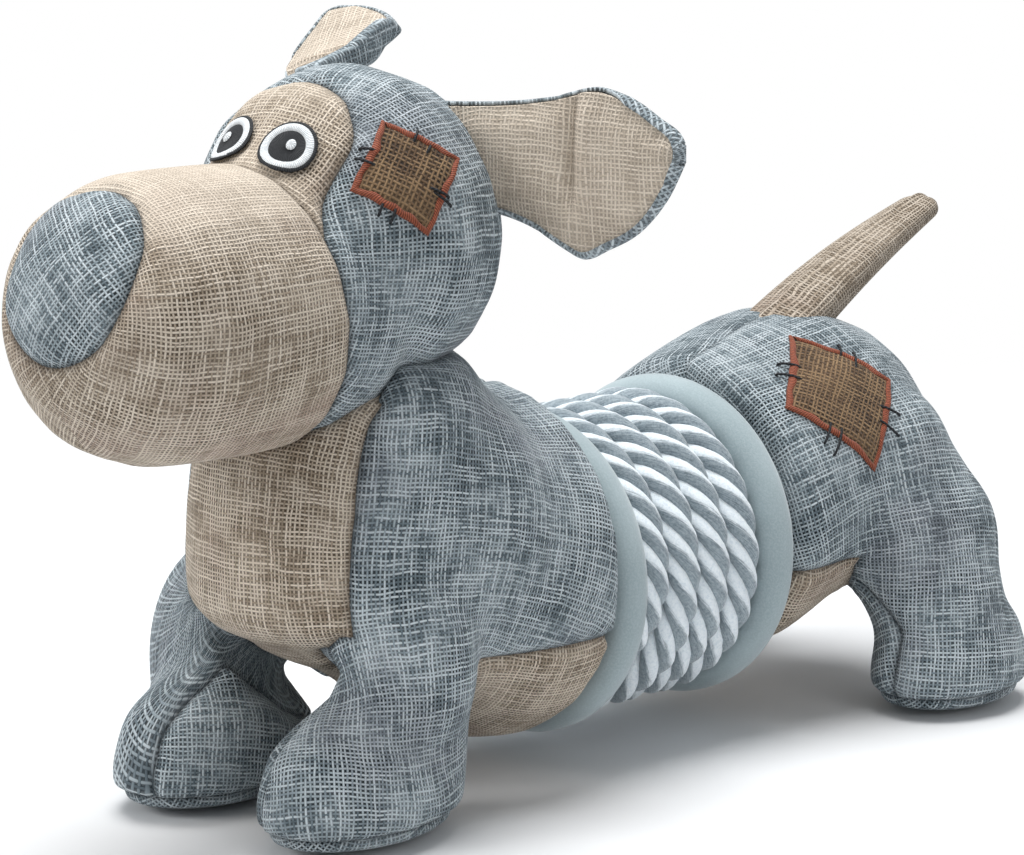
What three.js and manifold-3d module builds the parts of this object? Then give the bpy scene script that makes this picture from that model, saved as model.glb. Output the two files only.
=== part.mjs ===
// A plush dog toy: stuffed head and body in woven cloth, with a cotton rope wound
// round the waist between two padded collars.
// Millimetres, +Z up. The dog looks along -Y and its left side is +X.

import * as THREE from 'three';
import { mergeVertices } from 'three/addons/utils/BufferGeometryUtils.js';
import Module from 'manifold-3d';

const wasm = await Module();
wasm.setup();

const { Matrix4, Vector2, Vector3 } = THREE;
const radians = THREE.MathUtils.degToRad;
const sideways = new Vector3(1, 0, 0);
const backward = new Vector3(0, 1, 0);
const upright = new Vector3(0, 0, 1);

// Cloth, fits and overruns
const clothThickness = 1.3;
const clearance = 0.3;
const flapGap = 0.9;
const overrun = 400;

// Waist: a stuffed core, the rope wound on it and a padded collar at each end.
// A rise or drop of the body is counted from the waist's axis, one of the head from its middle.
const waistHeight = 46;
const coreRadius = 27.6;
const corePlug = 20;
const ropeDiameter = 10.2;
const ropePitch = 10.8;
const ropeTurns = 4;
const jogAngle = radians(150);
const tuckDepth = 15;
const collarProud = 2;
const collarWidth = 10;
const collarRound = 4;

// Front of the body: the barrel behind the chest, and the chest under the head
const barrelHalfWidth = 41;
const barrelHalfHeight = 40;
const barrelFrontY = -116;
const barrelFrontRise = 12;
const barrelDome = 30;
const bulgeLength = 6;
const chestY = -84;
const chestBottomDrop = 18;
const chestTopDrop = 18;
const chestHalfWidth = 40;
const chestHalfDepth = 35.5;
const chestDome = 18;
const chestPanelHalfWidth = 27.5;
const chestPanelY = -84;
const bellySeamDrop = 9;

// Head ball, muzzle and nose
const headY = -82.5;
const headRise = 88;
const headHalfWidth = 38.5;
const headHalfLength = 34.5;
const headHalfHeight = 39;
const muzzleTipY = -172;
const muzzleTipDrop = 13;
const muzzleDrop = 15;
const muzzleHalfWidth = 33;
const muzzleHalfHeight = 32;
const muzzleDome = 27;
const muzzleSeamY = -112;
const muzzleSeamLean = radians(5);
const noseSeamY = -163;
const noseSeamDrop = 3;
const noseSeamLean = radians(20.5);
const faceSeamTopY = -92.5;
const faceSeamTopRise = 36;
const faceSeamLowY = -110.6;
const faceSeamLowRise = 8.6;

// Squeaker in the head
const squeakerRadius = 13;
const squeakerLength = 30;
const squeakerRound = 6;
const reedRadius = 6;
const reedLength = 8;

// Eyes, embroidered on the face
const eyeTurn = radians(21);
const eyeLift = radians(38.4);
const eyeWidth = 13.4;
const eyeTall = 12.6;
const eyeRim = 0.8;
const pupilWidth = 8;
const pupilTall = 7.4;
const stitchingRise = 0.8;

// Ears, each a flap of two layers: shares of its length, and of its half width and thickness
const earSpineShares = [0, 0.33, 0.62, 0.82, 1];
const earShares = [[0.58, 1], [0.58, 1], [0.62, 1], [0.85, 1], [0.98, 1], [1, 1], [0.85, 1], [0.55, 1]];
const earLength = 48;
const earHalfWidth = 19.5;
const earLayer = 1.2;
const earRootDepth = 12;
const earTipRound = 12;
const earSag = 3.3;
const earBend = radians(12);
const nearEarSweep = radians(10);
const earRootX = 27.5;
const earRootY = -66;
const nearEarRise = 18;
const farEarRise = 21;
const farEarSweep = radians(130);
const farEarTilt = radians(25);
const farEarTwist = radians(-50);

// Rear of the body
const rumpFrontRise = 3.5;
const rumpMiddleY = 70;
const rumpMiddleRise = 15;
const rumpEndY = 108;
const rumpEndRise = 18;
const rumpHalfWidth = 43;
const rumpHalfHeight = 38.5;
const rumpDome = 34;
const rearSeamDrop = 6;

// Legs and feet
const footHeight = 34;
const footRound = 5;
const footFlat = 0.5;
const soleHeight = 4.5;
const frontFootX = 24.5;
const frontFootY = -103.5;
const frontFootHalfWidth = 19.5;
const frontFootHalfLength = 28.5;
const frontLegY = -91;
const frontLegRise = 14;
const frontLegHalfWidth = 17;
const frontLegHalfDepth = 19;
const rearFootX = 47;
const rearFootY = 83;
const rearFootHalfWidth = 18.5;
const rearFootHalfLength = 25.5;
const rearLegX = 30;
const rearLegY = 72;
const rearLegRise = 16;
const rearLegHalfWidth = 18;
const rearLegHalfDepth = 21;

// Tail
const tailRootY = 64;
const tailRootRise = 46.5;
const tailTipY = 131;
const tailTipRise = 74;
const tailHalfWidth = 7.5;
const tailHalfDepth = 5.2;

// Patches and their stitches
const headPatchTurn = radians(69);
const headPatchLift = radians(26);
const headPatchRoll = radians(-32);
const headPatchWidth = 19.5;
const headPatchTall = 19;
const rearPatchY = 57;
const rearPatchTurn = radians(90);
const rearPatchLift = radians(35);
const rearPatchRoll = radians(-46);
const rearPatchWidth = 26.5;
const rearPatchTall = 25.5;
const patchBorder = 2.2;
const feltThickness = 0.9;
const stitchLength = 6;
const stitchGap = 5;
const threadWidth = 0.9;
const threadRise = 0.8;

// Mesh fineness
const sides = 16;
const domeRings = 3;
const barrelRings = 4;
const flapRings = 5;
const ovalSides = 12;
const ropeSides = 6;
const stepsPerTurn = 24;

// Solids

function solidOf(geometry) {
  const bare = geometry.clone();
  for (const name of Object.keys(bare.attributes)) {
    if (name !== 'position') bare.deleteAttribute(name);
  }
  const merged = mergeVertices(bare);
  return new wasm.Manifold(new wasm.Mesh({
    numProp: 3,
    vertProperties: new Float32Array(merged.attributes.position.array),
    triVerts: new Uint32Array(merged.index.array),
  }));
}

function geometryOf(solid) {
  const mesh = solid.getMesh();
  const geometry = new THREE.BufferGeometry();
  geometry.setAttribute('position', new THREE.BufferAttribute(mesh.vertProperties, 3));
  geometry.setIndex(new THREE.BufferAttribute(mesh.triVerts, 1));
  return geometry;
}

const joined = (first, ...others) => others.reduce((all, next) => all.add(next), first);
const cut = (first, ...others) => others.reduce((all, next) => all.subtract(next), first);
const common = (first, ...others) => others.reduce((all, next) => all.intersect(next), first);

// Rings of points, closed by a pole at each end
function closedLoft(rings, startPole, endPole) {
  const points = [startPole, ...rings.flat(), endPole];
  const count = rings[0].length;
  const last = points.length - 1;
  const faces = [];
  for (let side = 0; side < count; side += 1) {
    const next = (side + 1) % count;
    faces.push(0, 1 + next, 1 + side);
    for (let ring = 0; ring < rings.length - 1; ring += 1) {
      const here = 1 + ring * count;
      const there = here + count;
      faces.push(here + side, here + next, there + side);
      faces.push(here + next, there + next, there + side);
    }
    const top = last - count;
    faces.push(last, top + side, top + next);
  }
  const geometry = new THREE.BufferGeometry().setFromPoints(points);
  geometry.setIndex(faces);
  return solidOf(geometry);
}

// A stuffed form along a spine: half sizes follow a table of shares, and both ends are domed.
// Its rings are square to the spine, or to the direction they are facing.
function stuffed({ spine, halfWidth, halfHeight, shares, domes, rings, wide = sideways, facing }, grow = 0) {
  const curve = new THREE.CatmullRomCurve3(spine);
  const sizes = new THREE.CatmullRomCurve3(shares.map(([w, h]) => new Vector3(w, h, 0)));
  const length = curve.getLength();
  const stops = [];
  for (let step = 1; step <= domeRings; step += 1) {
    const turn = (step / domeRings) * (Math.PI / 2);
    stops.push([-grow + (domes[0] + grow) * (1 - Math.cos(turn)), Math.sin(turn)]);
  }
  const plain = length - domes[0] - domes[1];
  for (let step = 1; step < rings; step += 1) {
    stops.push([domes[0] + (plain * step) / rings, 1]);
  }
  for (let step = domeRings; step >= 1; step -= 1) {
    const turn = (step / domeRings) * (Math.PI / 2);
    stops.push([length + grow - (domes[1] + grow) * (1 - Math.cos(turn)), Math.sin(turn)]);
  }
  const placeAt = (distance) => {
    const share = THREE.MathUtils.clamp(distance / length, 0, 1);
    const along = facing ?? curve.getTangentAt(share);
    const centre = curve.getPointAt(share).addScaledVector(along, distance - share * length);
    return { share, along, centre };
  };
  const loops = stops.map(([distance, dome]) => {
    const { share, along, centre } = placeAt(distance);
    const across = wide.clone().addScaledVector(along, -wide.dot(along)).normalize();
    const upward = new Vector3().crossVectors(along, across).normalize();
    const size = sizes.getPoint(share);
    const width = (halfWidth * size.x + grow) * dome;
    const height = (halfHeight * size.y + grow) * dome;
    return Array.from({ length: sides }, (unused, side) => {
      const angle = (side / sides) * 2 * Math.PI;
      return centre.clone()
        .addScaledVector(across, width * Math.cos(angle))
        .addScaledVector(upward, height * Math.sin(angle));
    });
  });
  return closedLoft(loops, placeAt(-grow).centre, placeAt(length + grow).centre);
}

// A block that covers everything on one side of a plane
function halfSpace(point, normal) {
  const block = new THREE.BoxGeometry(overrun, overrun, overrun);
  block.translate(0, 0, overrun / 2);
  block.applyQuaternion(new THREE.Quaternion().setFromUnitVectors(upright, normal));
  block.translate(point.x, point.y, point.z);
  return solidOf(block);
}

// The two sides of a seam, a clearance apart
function seam(point, normal) {
  const unit = normal.clone().normalize();
  return {
    ahead: halfSpace(point.clone().addScaledVector(unit, clearance / 2), unit),
    behind: halfSpace(point.clone().addScaledVector(unit, -clearance / 2), unit.clone().negate()),
  };
}

function boxBetween(low, high) {
  const size = new Vector3().subVectors(high, low);
  const box = new THREE.BoxGeometry(size.x, size.y, size.z);
  box.translate((low.x + high.x) / 2, (low.y + high.y) / 2, (low.z + high.z) / 2);
  return solidOf(box);
}

// A round solid on the waist's axis
function drum(radius, fromY, toY, round = 0) {
  const outline = [new Vector2(0, fromY)];
  const steps = round > 0 ? domeRings : 0;
  for (let step = 0; step <= steps; step += 1) {
    const turn = steps > 0 ? (step / steps) * (Math.PI / 2) : 0;
    outline.push(new Vector2(radius - round * (1 - Math.sin(turn)), fromY + round * (1 - Math.cos(turn))));
  }
  for (let step = steps; step >= 0; step -= 1) {
    const turn = steps > 0 ? (step / steps) * (Math.PI / 2) : 0;
    outline.push(new Vector2(radius - round * (1 - Math.sin(turn)), toY - round * (1 - Math.cos(turn))));
  }
  outline.push(new Vector2(0, toY));
  const lathe = new THREE.LatheGeometry(outline, stepsPerTurn);
  lathe.translate(0, 0, waistHeight);
  return solidOf(lathe);
}

// Waist

const ropeRadius = ropeDiameter / 2;
const windingRadius = coreRadius + clearance + ropeRadius;
const collarRadius = coreRadius + ropeDiameter + collarProud;
const windingHalf = ((ropeTurns - 1) * ropePitch + ropeDiameter) / 2;
const collarInnerY = windingHalf + clearance;
const collarOuterY = collarInnerY + collarWidth;
const bodyEndY = collarOuterY + clearance;
const coreHalf = collarOuterY + corePlug;

const ease = (share) => {
  const held = THREE.MathUtils.clamp(share, 0, 1);
  return held * held * (3 - 2 * held);
};

// Each turn lies flat round the waist and steps to the next one under the belly,
// where the two ends dive into the core.
function ropeRoute() {
  const lead = jogAngle / 6;
  const dive = jogAngle - lead;
  const first = lead - dive;
  const last = ropeTurns * 2 * Math.PI - jogAngle - first;
  const steps = Math.round(((last - first) / (2 * Math.PI)) * stepsPerTurn);
  return Array.from({ length: steps + 1 }, (unused, step) => {
    const travelled = first + ((last - first) * step) / steps;
    let along = -((ropeTurns - 1) * ropePitch) / 2;
    for (let turn = 1; turn < ropeTurns; turn += 1) {
      along += ropePitch * ease((travelled - turn * 2 * Math.PI + jogAngle) / jogAngle);
    }
    const sunk = ease((lead - travelled) / dive) + ease((travelled - last + dive) / dive);
    const radius = windingRadius - tuckDepth * sunk;
    const angle = travelled + (jogAngle - Math.PI) / 2;
    return new Vector3(radius * Math.cos(angle), along, waistHeight + radius * Math.sin(angle));
  });
}

function tube(route, radius) {
  const section = new THREE.Shape(Array.from({ length: ropeSides }, (unused, side) => {
    const angle = (side / ropeSides) * 2 * Math.PI;
    return new Vector2(radius * Math.cos(angle), radius * Math.sin(angle));
  }));
  return solidOf(new THREE.ExtrudeGeometry(section, {
    steps: route.length - 1, bevelEnabled: false, extrudePath: new THREE.CatmullRomCurve3(route),
  }));
}

function leastGap(route, diameter) {
  let least = Infinity;
  const apart = Math.round(stepsPerTurn / 2);
  for (let first = 0; first < route.length; first += 1) {
    for (let second = first + apart; second < route.length; second += 1) {
      least = Math.min(least, route[first].distanceTo(route[second]) - diameter);
    }
  }
  return least;
}

const route = ropeRoute();
console.log('least gap between the turns of the rope, mm:', leastGap(route, ropeDiameter).toFixed(2));

function waistPieces() {
  const rope = tube(route, ropeRadius);
  const pocket = tube(route, ropeRadius + clearance);
  const core = cut(drum(coreRadius, -coreHalf, coreHalf, collarRound), pocket);
  const collar = (fromY, toY) => cut(
    drum(collarRadius, fromY, toY, collarRound),
    drum(coreRadius + clearance, -coreHalf, coreHalf),
  );
  return {
    waist_core: core,
    rope_winding: rope,
    front_collar: collar(-collarOuterY, -collarInnerY),
    rear_collar: collar(collarInnerY, collarOuterY),
  };
}

// Blocks that reach outward from a point, rolled about that direction

function outwardFrom(point, turn, lift, roll) {
  const outward = new Vector3(
    Math.cos(lift) * Math.sin(turn),
    -Math.cos(lift) * Math.cos(turn),
    Math.sin(lift),
  );
  const upward = upright.clone().addScaledVector(outward, -outward.z).normalize();
  const across = new Vector3().crossVectors(upward, outward);
  const frame = new Matrix4().makeBasis(across, upward, outward).setPosition(point);
  return frame.multiply(new Matrix4().makeRotationZ(roll));
}

function slab(frame, width, tall, x = 0, y = 0) {
  const box = new THREE.BoxGeometry(width, tall, overrun);
  box.translate(x, y, overrun / 2);
  return solidOf(box.applyMatrix4(frame));
}

function oval(frame, width, tall) {
  const column = new THREE.CylinderGeometry(width / 2, width / 2, overrun, ovalSides);
  column.rotateX(Math.PI / 2);
  column.translate(0, 0, overrun / 2);
  column.scale(1, tall / width, 1);
  return solidOf(column.applyMatrix4(frame));
}

// Stuffed volumes

const headZ = waistHeight + headRise;
const muzzleZ = headZ - muzzleDrop;
const rumpMiddleZ = waistHeight + rumpMiddleRise;

const headForm = {
  spine: [new Vector3(0, headY + headHalfLength, headZ), new Vector3(0, headY - headHalfLength, headZ)],
  halfWidth: headHalfWidth,
  halfHeight: headHalfHeight,
  shares: [[1, 1], [1, 1]],
  domes: [headHalfLength, headHalfLength],
  rings: 1,
};

const muzzleForm = {
  spine: [new Vector3(0, headY, muzzleZ), new Vector3(0, muzzleTipY, headZ - muzzleTipDrop)],
  halfWidth: muzzleHalfWidth,
  halfHeight: muzzleHalfHeight,
  shares: [[0.96, 0.97], [1.02, 1], [1.01, 0.98]],
  domes: [muzzleDome / 2, muzzleDome],
  rings: barrelRings,
};

const barrelForm = {
  spine: [
    new Vector3(0, barrelFrontY, waistHeight + barrelFrontRise),
    new Vector3(0, (barrelFrontY - bodyEndY) / 2, waistHeight + barrelFrontRise / 2),
    new Vector3(0, -bodyEndY, waistHeight),
  ],
  halfWidth: barrelHalfWidth,
  halfHeight: barrelHalfHeight,
  shares: [[0.8, 0.8], [0.98, 0.98], [1, 1], [1, 1]],
  domes: [barrelDome, bulgeLength],
  rings: barrelRings,
  facing: backward,
};

const chestForm = {
  spine: [new Vector3(0, chestY, waistHeight - chestBottomDrop), new Vector3(0, chestY, headZ - chestTopDrop)],
  halfWidth: chestHalfWidth,
  halfHeight: chestHalfDepth,
  shares: [[0.92, 0.97], [1, 1], [0.92, 0.95], [0.75, 0.8]],
  domes: [chestDome, chestDome],
  rings: barrelRings,
};

const rumpForm = {
  spine: [
    new Vector3(0, bodyEndY, waistHeight + rumpFrontRise),
    new Vector3(0, rumpMiddleY, rumpMiddleZ),
    new Vector3(0, rumpEndY, waistHeight + rumpEndRise),
  ],
  halfWidth: rumpHalfWidth,
  halfHeight: rumpHalfHeight,
  shares: [[0.97, 1.01], [1, 1], [0.98, 0.95], [0.85, 0.8]],
  domes: [bulgeLength, rumpDome],
  rings: barrelRings,
  facing: backward,
};

const headVolume = (grow) => joined(stuffed(headForm, grow), stuffed(muzzleForm, grow));
const frontVolume = (grow) => common(
  joined(stuffed(barrelForm, grow), stuffed(chestForm, grow)),
  halfSpace(new Vector3(0, grow - bodyEndY, 0), new Vector3(0, -1, 0)),
);
const rearVolume = (grow) => common(
  stuffed(rumpForm, grow),
  halfSpace(new Vector3(0, bodyEndY - grow, 0), new Vector3(0, 1, 0)),
);

const headKept = headVolume(clearance);
const coreSpace = drum(coreRadius + clearance, -coreHalf - clearance, coreHalf + clearance);
const fillingGap = -clothThickness - clearance;

// A round solid along the muzzle's axis
const plug = (radius, fromY, toY, dome) => stuffed({
  spine: [new Vector3(0, toY, muzzleZ), new Vector3(0, fromY, muzzleZ)],
  halfWidth: radius,
  halfHeight: radius,
  shares: [[1, 1], [1, 1]],
  domes: [dome, dome],
  rings: 1,
});

function headPieces() {
  const cloth = cut(headVolume(0), headVolume(-clothThickness));
  const filling = headVolume(fillingGap);
  const noseSeam = seam(
    new Vector3(0, noseSeamY, headZ - noseSeamDrop),
    new Vector3(0, -Math.cos(noseSeamLean), Math.sin(noseSeamLean)),
  );
  const muzzleSeam = seam(
    new Vector3(0, muzzleSeamY, muzzleZ),
    new Vector3(0, -Math.cos(muzzleSeamLean), -Math.sin(muzzleSeamLean)),
  );
  const faceSeam = seam(
    new Vector3(0, faceSeamTopY, headZ + faceSeamTopRise),
    new Vector3(0, faceSeamLowRise - faceSeamTopRise, faceSeamTopY - faceSeamLowY),
  );
  const skull = common(cloth, muzzleSeam.behind);
  const bulbFront = muzzleSeamY + reedRadius;
  const bulbBack = bulbFront + squeakerLength;
  const reedBack = bulbFront + reedLength;
  const reedSpace = plug(reedRadius + clearance, bulbFront - reedLength, reedBack + clearance, clothThickness);
  return {
    nose_panel: common(cloth, noseSeam.ahead),
    muzzle_cover: common(cloth, noseSeam.behind, muzzleSeam.ahead),
    face_panel: common(skull, faceSeam.ahead),
    hood: common(skull, faceSeam.behind),
    head_filling: cut(
      common(filling, muzzleSeam.behind),
      plug(squeakerRadius + clearance, muzzleTipY, bulbBack + clearance, squeakerRound),
    ),
    muzzle_filling: common(filling, muzzleSeam.ahead),
    squeaker_bulb: cut(plug(squeakerRadius, bulbFront, bulbBack, squeakerRound), reedSpace),
    squeaker_reed: plug(reedRadius, bulbFront, reedBack, clothThickness),
  };
}

function eyePieces(place, side) {
  const threads = cut(headVolume(clearance + stitchingRise), headKept);
  const frame = outwardFrom(new Vector3(0, headY, headZ), side * eyeTurn, eyeLift, 0);
  const inner = 2 * eyeRim;
  const white = inner + 2 * clearance;
  return {
    [`${place}_eye_rim`]: common(threads, cut(
      oval(frame, eyeWidth, eyeTall),
      oval(frame, eyeWidth - inner, eyeTall - inner),
    )),
    [`${place}_eye_white`]: common(threads, cut(
      oval(frame, eyeWidth - white, eyeTall - white),
      oval(frame, pupilWidth + 2 * clearance, pupilTall + 2 * clearance),
    )),
    [`${place}_eye_pupil`]: common(threads, oval(frame, pupilWidth, pupilTall)),
  };
}

function earPieces(place, root, direction, wide) {
  const face = new Vector3().crossVectors(direction, wide).normalize();
  const reach = earRootDepth + earLength;
  const layer = (rise) => {
    const spine = earSpineShares.map((share) => {
      const along = share * reach - earRootDepth;
      const sag = earSag * Math.sin(share * Math.PI);
      const bend = Math.max(0, along - earLength / 2) * Math.tan(earBend);
      return root.clone()
        .addScaledVector(direction, along)
        .addScaledVector(wide, -sag)
        .addScaledVector(face, rise - bend);
    });
    return stuffed({
      spine, halfWidth: earHalfWidth, halfHeight: earLayer / 2, shares: earShares, wide,
      domes: [clothThickness, earTipRound], rings: flapRings,
    });
  };
  const away = headVolume(flapGap);
  const apart = (earLayer + clearance) / 2;
  return {
    [`${place}_ear_lining`]: cut(layer(apart), away),
    [`${place}_ear_back`]: cut(layer(-apart), away),
  };
}

function patchPieces(place, volume, frame, width, tall) {
  const lift = clearance + feltThickness;
  const felt = cut(volume(lift), volume(clearance));
  const thread = cut(volume(lift + clearance + threadRise), volume(lift + clearance));
  const inside = [width - 2 * patchBorder, tall - 2 * patchBorder];
  const pieces = {
    [`${place}_patch`]: common(felt, slab(frame, inside[0] - 2 * clearance, inside[1] - 2 * clearance)),
    [`${place}_patch_border`]: common(felt, cut(slab(frame, width, tall), slab(frame, ...inside))),
  };
  for (const end of [-1, 1]) {
    for (const shift of [-1, 1]) {
      const wideStitch = slab(frame, stitchLength, threadWidth, (end * width) / 2, (shift * stitchGap) / 2);
      const tallStitch = slab(frame, threadWidth, stitchLength, (shift * stitchGap) / 2, (end * tall) / 2);
      const label = `${end < 0 ? 'low' : 'high'}_${shift < 0 ? 'first' : 'second'}`;
      pieces[`${place}_stitch_side_${label}`] = common(thread, wideStitch);
      pieces[`${place}_stitch_edge_${label}`] = common(thread, tallStitch);
    }
  }
  return pieces;
}

// Body

function frontPieces() {
  const cloth = cut(frontVolume(0), frontVolume(-clothThickness), headKept, coreSpace);
  const under = (grow) => joined(
    boxBetween(
      new Vector3(-chestPanelHalfWidth - grow, -overrun, -overrun),
      new Vector3(chestPanelHalfWidth + grow, chestPanelY + grow, overrun),
    ),
    halfSpace(new Vector3(0, 0, waistHeight - bellySeamDrop + grow), new Vector3(0, 0, -1)),
  );
  return {
    chest_panel: common(cloth, under(0)),
    front_cover: cut(cloth, under(clearance)),
    front_filling: cut(frontVolume(fillingGap), headKept, coreSpace),
  };
}

function rearPieces() {
  const cloth = cut(rearVolume(0), rearVolume(-clothThickness), coreSpace);
  const belly = seam(new Vector3(0, 0, waistHeight - rearSeamDrop), new Vector3(0, 0, -1));
  return {
    rear_cover: common(cloth, belly.behind),
    rear_belly_panel: common(cloth, belly.ahead),
    rear_filling: cut(rearVolume(fillingGap), coreSpace),
  };
}

// A stuffed leg: a column and a round foot over a flat sole
function legPieces(name, side, body, leg) {
  const column = stuffed({
    spine: [
      new Vector3(side * leg.footX, leg.ankleY, 0),
      new Vector3(side * leg.footX, leg.ankleY, footHeight / 2),
      new Vector3(side * leg.hipX, leg.hipY, leg.top),
    ],
    halfWidth: leg.halfWidth,
    halfHeight: leg.halfDepth,
    shares: [[0.88, 0.82], [0.97, 0.93], [1, 1]],
    domes: [footRound, leg.halfWidth],
    rings: barrelRings / 2,
  });
  const foot = stuffed({
    spine: [
      new Vector3(side * leg.footX, leg.footY, -footFlat),
      new Vector3(side * leg.footX, leg.footY, footHeight),
    ],
    halfWidth: leg.footHalfWidth,
    halfHeight: leg.footHalfLength,
    shares: [[0.95, 0.95], [1, 1], [0.9, 0.9]],
    domes: [footRound, footHeight - 2 * footRound],
    rings: barrelRings / 2,
  });
  const floor = halfSpace(new Vector3(0, 0, 0), new Vector3(0, 0, 1));
  const whole = cut(common(joined(column, foot), floor), body);
  const sole = seam(new Vector3(0, 0, soleHeight), new Vector3(0, 0, 1));
  return { [`${name}_leg`]: common(whole, sole.ahead), [`${name}_sole`]: common(whole, sole.behind) };
}

function tailPiece() {
  const tail = stuffed({
    spine: [
      new Vector3(0, tailRootY, waistHeight + tailRootRise),
      new Vector3(0, tailTipY, waistHeight + tailTipRise),
    ],
    halfWidth: tailHalfWidth,
    halfHeight: tailHalfDepth,
    shares: [[1.05, 1.1], [1, 1], [0.9, 0.9], [0.65, 0.7]],
    domes: [clothThickness, tailHalfDepth],
    rings: barrelRings,
  });
  return cut(tail, rearVolume(flapGap));
}

const frontLeg = {
  footX: frontFootX, footY: frontFootY, footHalfWidth: frontFootHalfWidth, footHalfLength: frontFootHalfLength,
  hipX: frontFootX, hipY: frontLegY, ankleY: frontLegY, top: waistHeight + frontLegRise,
  halfWidth: frontLegHalfWidth, halfDepth: frontLegHalfDepth,
};
const rearLeg = {
  footX: rearFootX, footY: rearFootY, footHalfWidth: rearFootHalfWidth, footHalfLength: rearFootHalfLength,
  hipX: rearLegX, hipY: rearLegY, ankleY: rearFootY, top: waistHeight + rearLegRise,
  halfWidth: rearLegHalfWidth, halfDepth: rearLegHalfDepth,
};
const nearEar = new Vector3(Math.cos(nearEarSweep), Math.sin(nearEarSweep), 0);
const farEar = new Vector3(
  Math.cos(farEarTilt) * Math.cos(farEarSweep),
  Math.cos(farEarTilt) * Math.sin(farEarSweep),
  Math.sin(farEarTilt),
);
const farEarWide = new Vector3().crossVectors(upright, farEar).normalize().applyAxisAngle(farEar, farEarTwist);
const headMiddle = new Vector3(0, headY, headZ);
const headPatchFrame = outwardFrom(headMiddle, headPatchTurn, headPatchLift, headPatchRoll);
const rumpMiddle = new Vector3(0, rearPatchY, rumpMiddleZ);
const rearPatchFrame = outwardFrom(rumpMiddle, rearPatchTurn, rearPatchLift, rearPatchRoll);
const frontKept = frontVolume(clearance);
const rearKept = rearVolume(clearance);

const solids = {
  ...waistPieces(),
  ...headPieces(),
  ...eyePieces('left', 1),
  ...eyePieces('right', -1),
  ...earPieces('left', new Vector3(earRootX, earRootY, headZ + nearEarRise), nearEar, upright),
  ...earPieces('right', new Vector3(-earRootX, earRootY, headZ + farEarRise), farEar, farEarWide),
  ...patchPieces('head', headVolume, headPatchFrame, headPatchWidth, headPatchTall),
  ...patchPieces('rear', rearVolume, rearPatchFrame, rearPatchWidth, rearPatchTall),
  ...frontPieces(),
  ...rearPieces(),
  ...legPieces('left_front', 1, frontKept, frontLeg),
  ...legPieces('right_front', -1, frontKept, frontLeg),
  ...legPieces('left_rear', 1, rearKept, rearLeg),
  ...legPieces('right_rear', -1, rearKept, rearLeg),
  tail: tailPiece(),
};

// Looks: the first entry whose words end a node's name gives its material
const looks = [
  ['filling', '#e9e8e2', 0.95], ['waist_core', '#e9e8e2', 0.95], ['rope_winding', '#c3cdd4', 0.9],
  ['collar', '#a5b6bc', 0.95], ['squeaker_bulb', '#e6e1d0', 0.45], ['squeaker_reed', '#c9ccd0', 0.4],
  ['eye_rim', '#17181b', 0.7], ['eye_white', '#e4e6e8', 0.7], ['eye_pupil', '#141517', 0.55],
  ['patch', '#78644b', 0.95], ['patch_border', '#a54b2d', 0.9], ['ear_lining', '#b3a28c', 0.92],
  ['muzzle_cover', '#b3a28c', 0.92], ['face_panel', '#b3a28c', 0.92], ['chest_panel', '#b3a28c', 0.92],
  ['belly_panel', '#b3a28c', 0.92],
  ['tail', '#a39584', 0.92],
];

function materialOf(name) {
  const found = looks.find(([ending]) => name.endsWith(ending));
  if (found) return new THREE.MeshStandardMaterial({ color: found[1], roughness: found[2], metalness: 0 });
  const color = name.includes('stitch') ? '#1b1c1e' : '#7d8e9a';
  return new THREE.MeshStandardMaterial({ color, roughness: 0.92, metalness: 0 });
}

const group = new THREE.Group();
for (const [name, solid] of Object.entries(solids)) {
  const mesh = new THREE.Mesh(geometryOf(solid), materialOf(name));
  mesh.name = name;
  group.add(mesh);
}

// The origin is the middle of the part's footprint, on the floor
const bounds = new THREE.Box3().setFromObject(group);
const middle = bounds.getCenter(new Vector3());
for (const mesh of group.children) {
  mesh.geometry.translate(-middle.x, -middle.y, -bounds.min.z);
}
console.log('shift of the origin, mm:', middle.toArray().map((value) => value.toFixed(2)).join(' '));

export default group;
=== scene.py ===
# A plush dog toy: sewn and stuffed linen, with a cotton rope round its waist.
# Metres, +Z up. The dog looks along -Y and its left side is +X.

from math import cos, exp, hypot, pi, radians, sin, sqrt, tan

import bmesh
import bpy
from mathutils import Matrix, Vector, noise
from mathutils.bvhtree import BVHTree
from mathutils.kdtree import KDTree


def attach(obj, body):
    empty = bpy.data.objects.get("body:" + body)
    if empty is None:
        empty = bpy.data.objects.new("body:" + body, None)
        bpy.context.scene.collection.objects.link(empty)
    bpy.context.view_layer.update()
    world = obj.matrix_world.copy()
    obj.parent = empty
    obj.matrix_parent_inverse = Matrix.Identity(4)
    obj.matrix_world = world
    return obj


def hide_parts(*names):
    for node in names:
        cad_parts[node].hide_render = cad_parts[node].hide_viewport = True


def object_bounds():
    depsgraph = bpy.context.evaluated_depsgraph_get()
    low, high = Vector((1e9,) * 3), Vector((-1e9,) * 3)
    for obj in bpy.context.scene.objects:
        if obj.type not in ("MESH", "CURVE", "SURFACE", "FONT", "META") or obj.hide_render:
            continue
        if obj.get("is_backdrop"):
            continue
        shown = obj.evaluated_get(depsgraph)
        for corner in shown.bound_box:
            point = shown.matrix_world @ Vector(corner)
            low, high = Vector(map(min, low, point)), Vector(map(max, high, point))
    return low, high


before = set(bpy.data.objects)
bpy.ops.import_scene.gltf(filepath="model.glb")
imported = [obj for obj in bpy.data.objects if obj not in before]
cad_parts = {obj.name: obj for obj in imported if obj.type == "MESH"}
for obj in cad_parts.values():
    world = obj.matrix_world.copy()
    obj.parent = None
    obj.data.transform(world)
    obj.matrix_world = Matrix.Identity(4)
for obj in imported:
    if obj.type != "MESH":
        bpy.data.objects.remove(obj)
cad_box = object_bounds()
scene = bpy.context.scene

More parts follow.
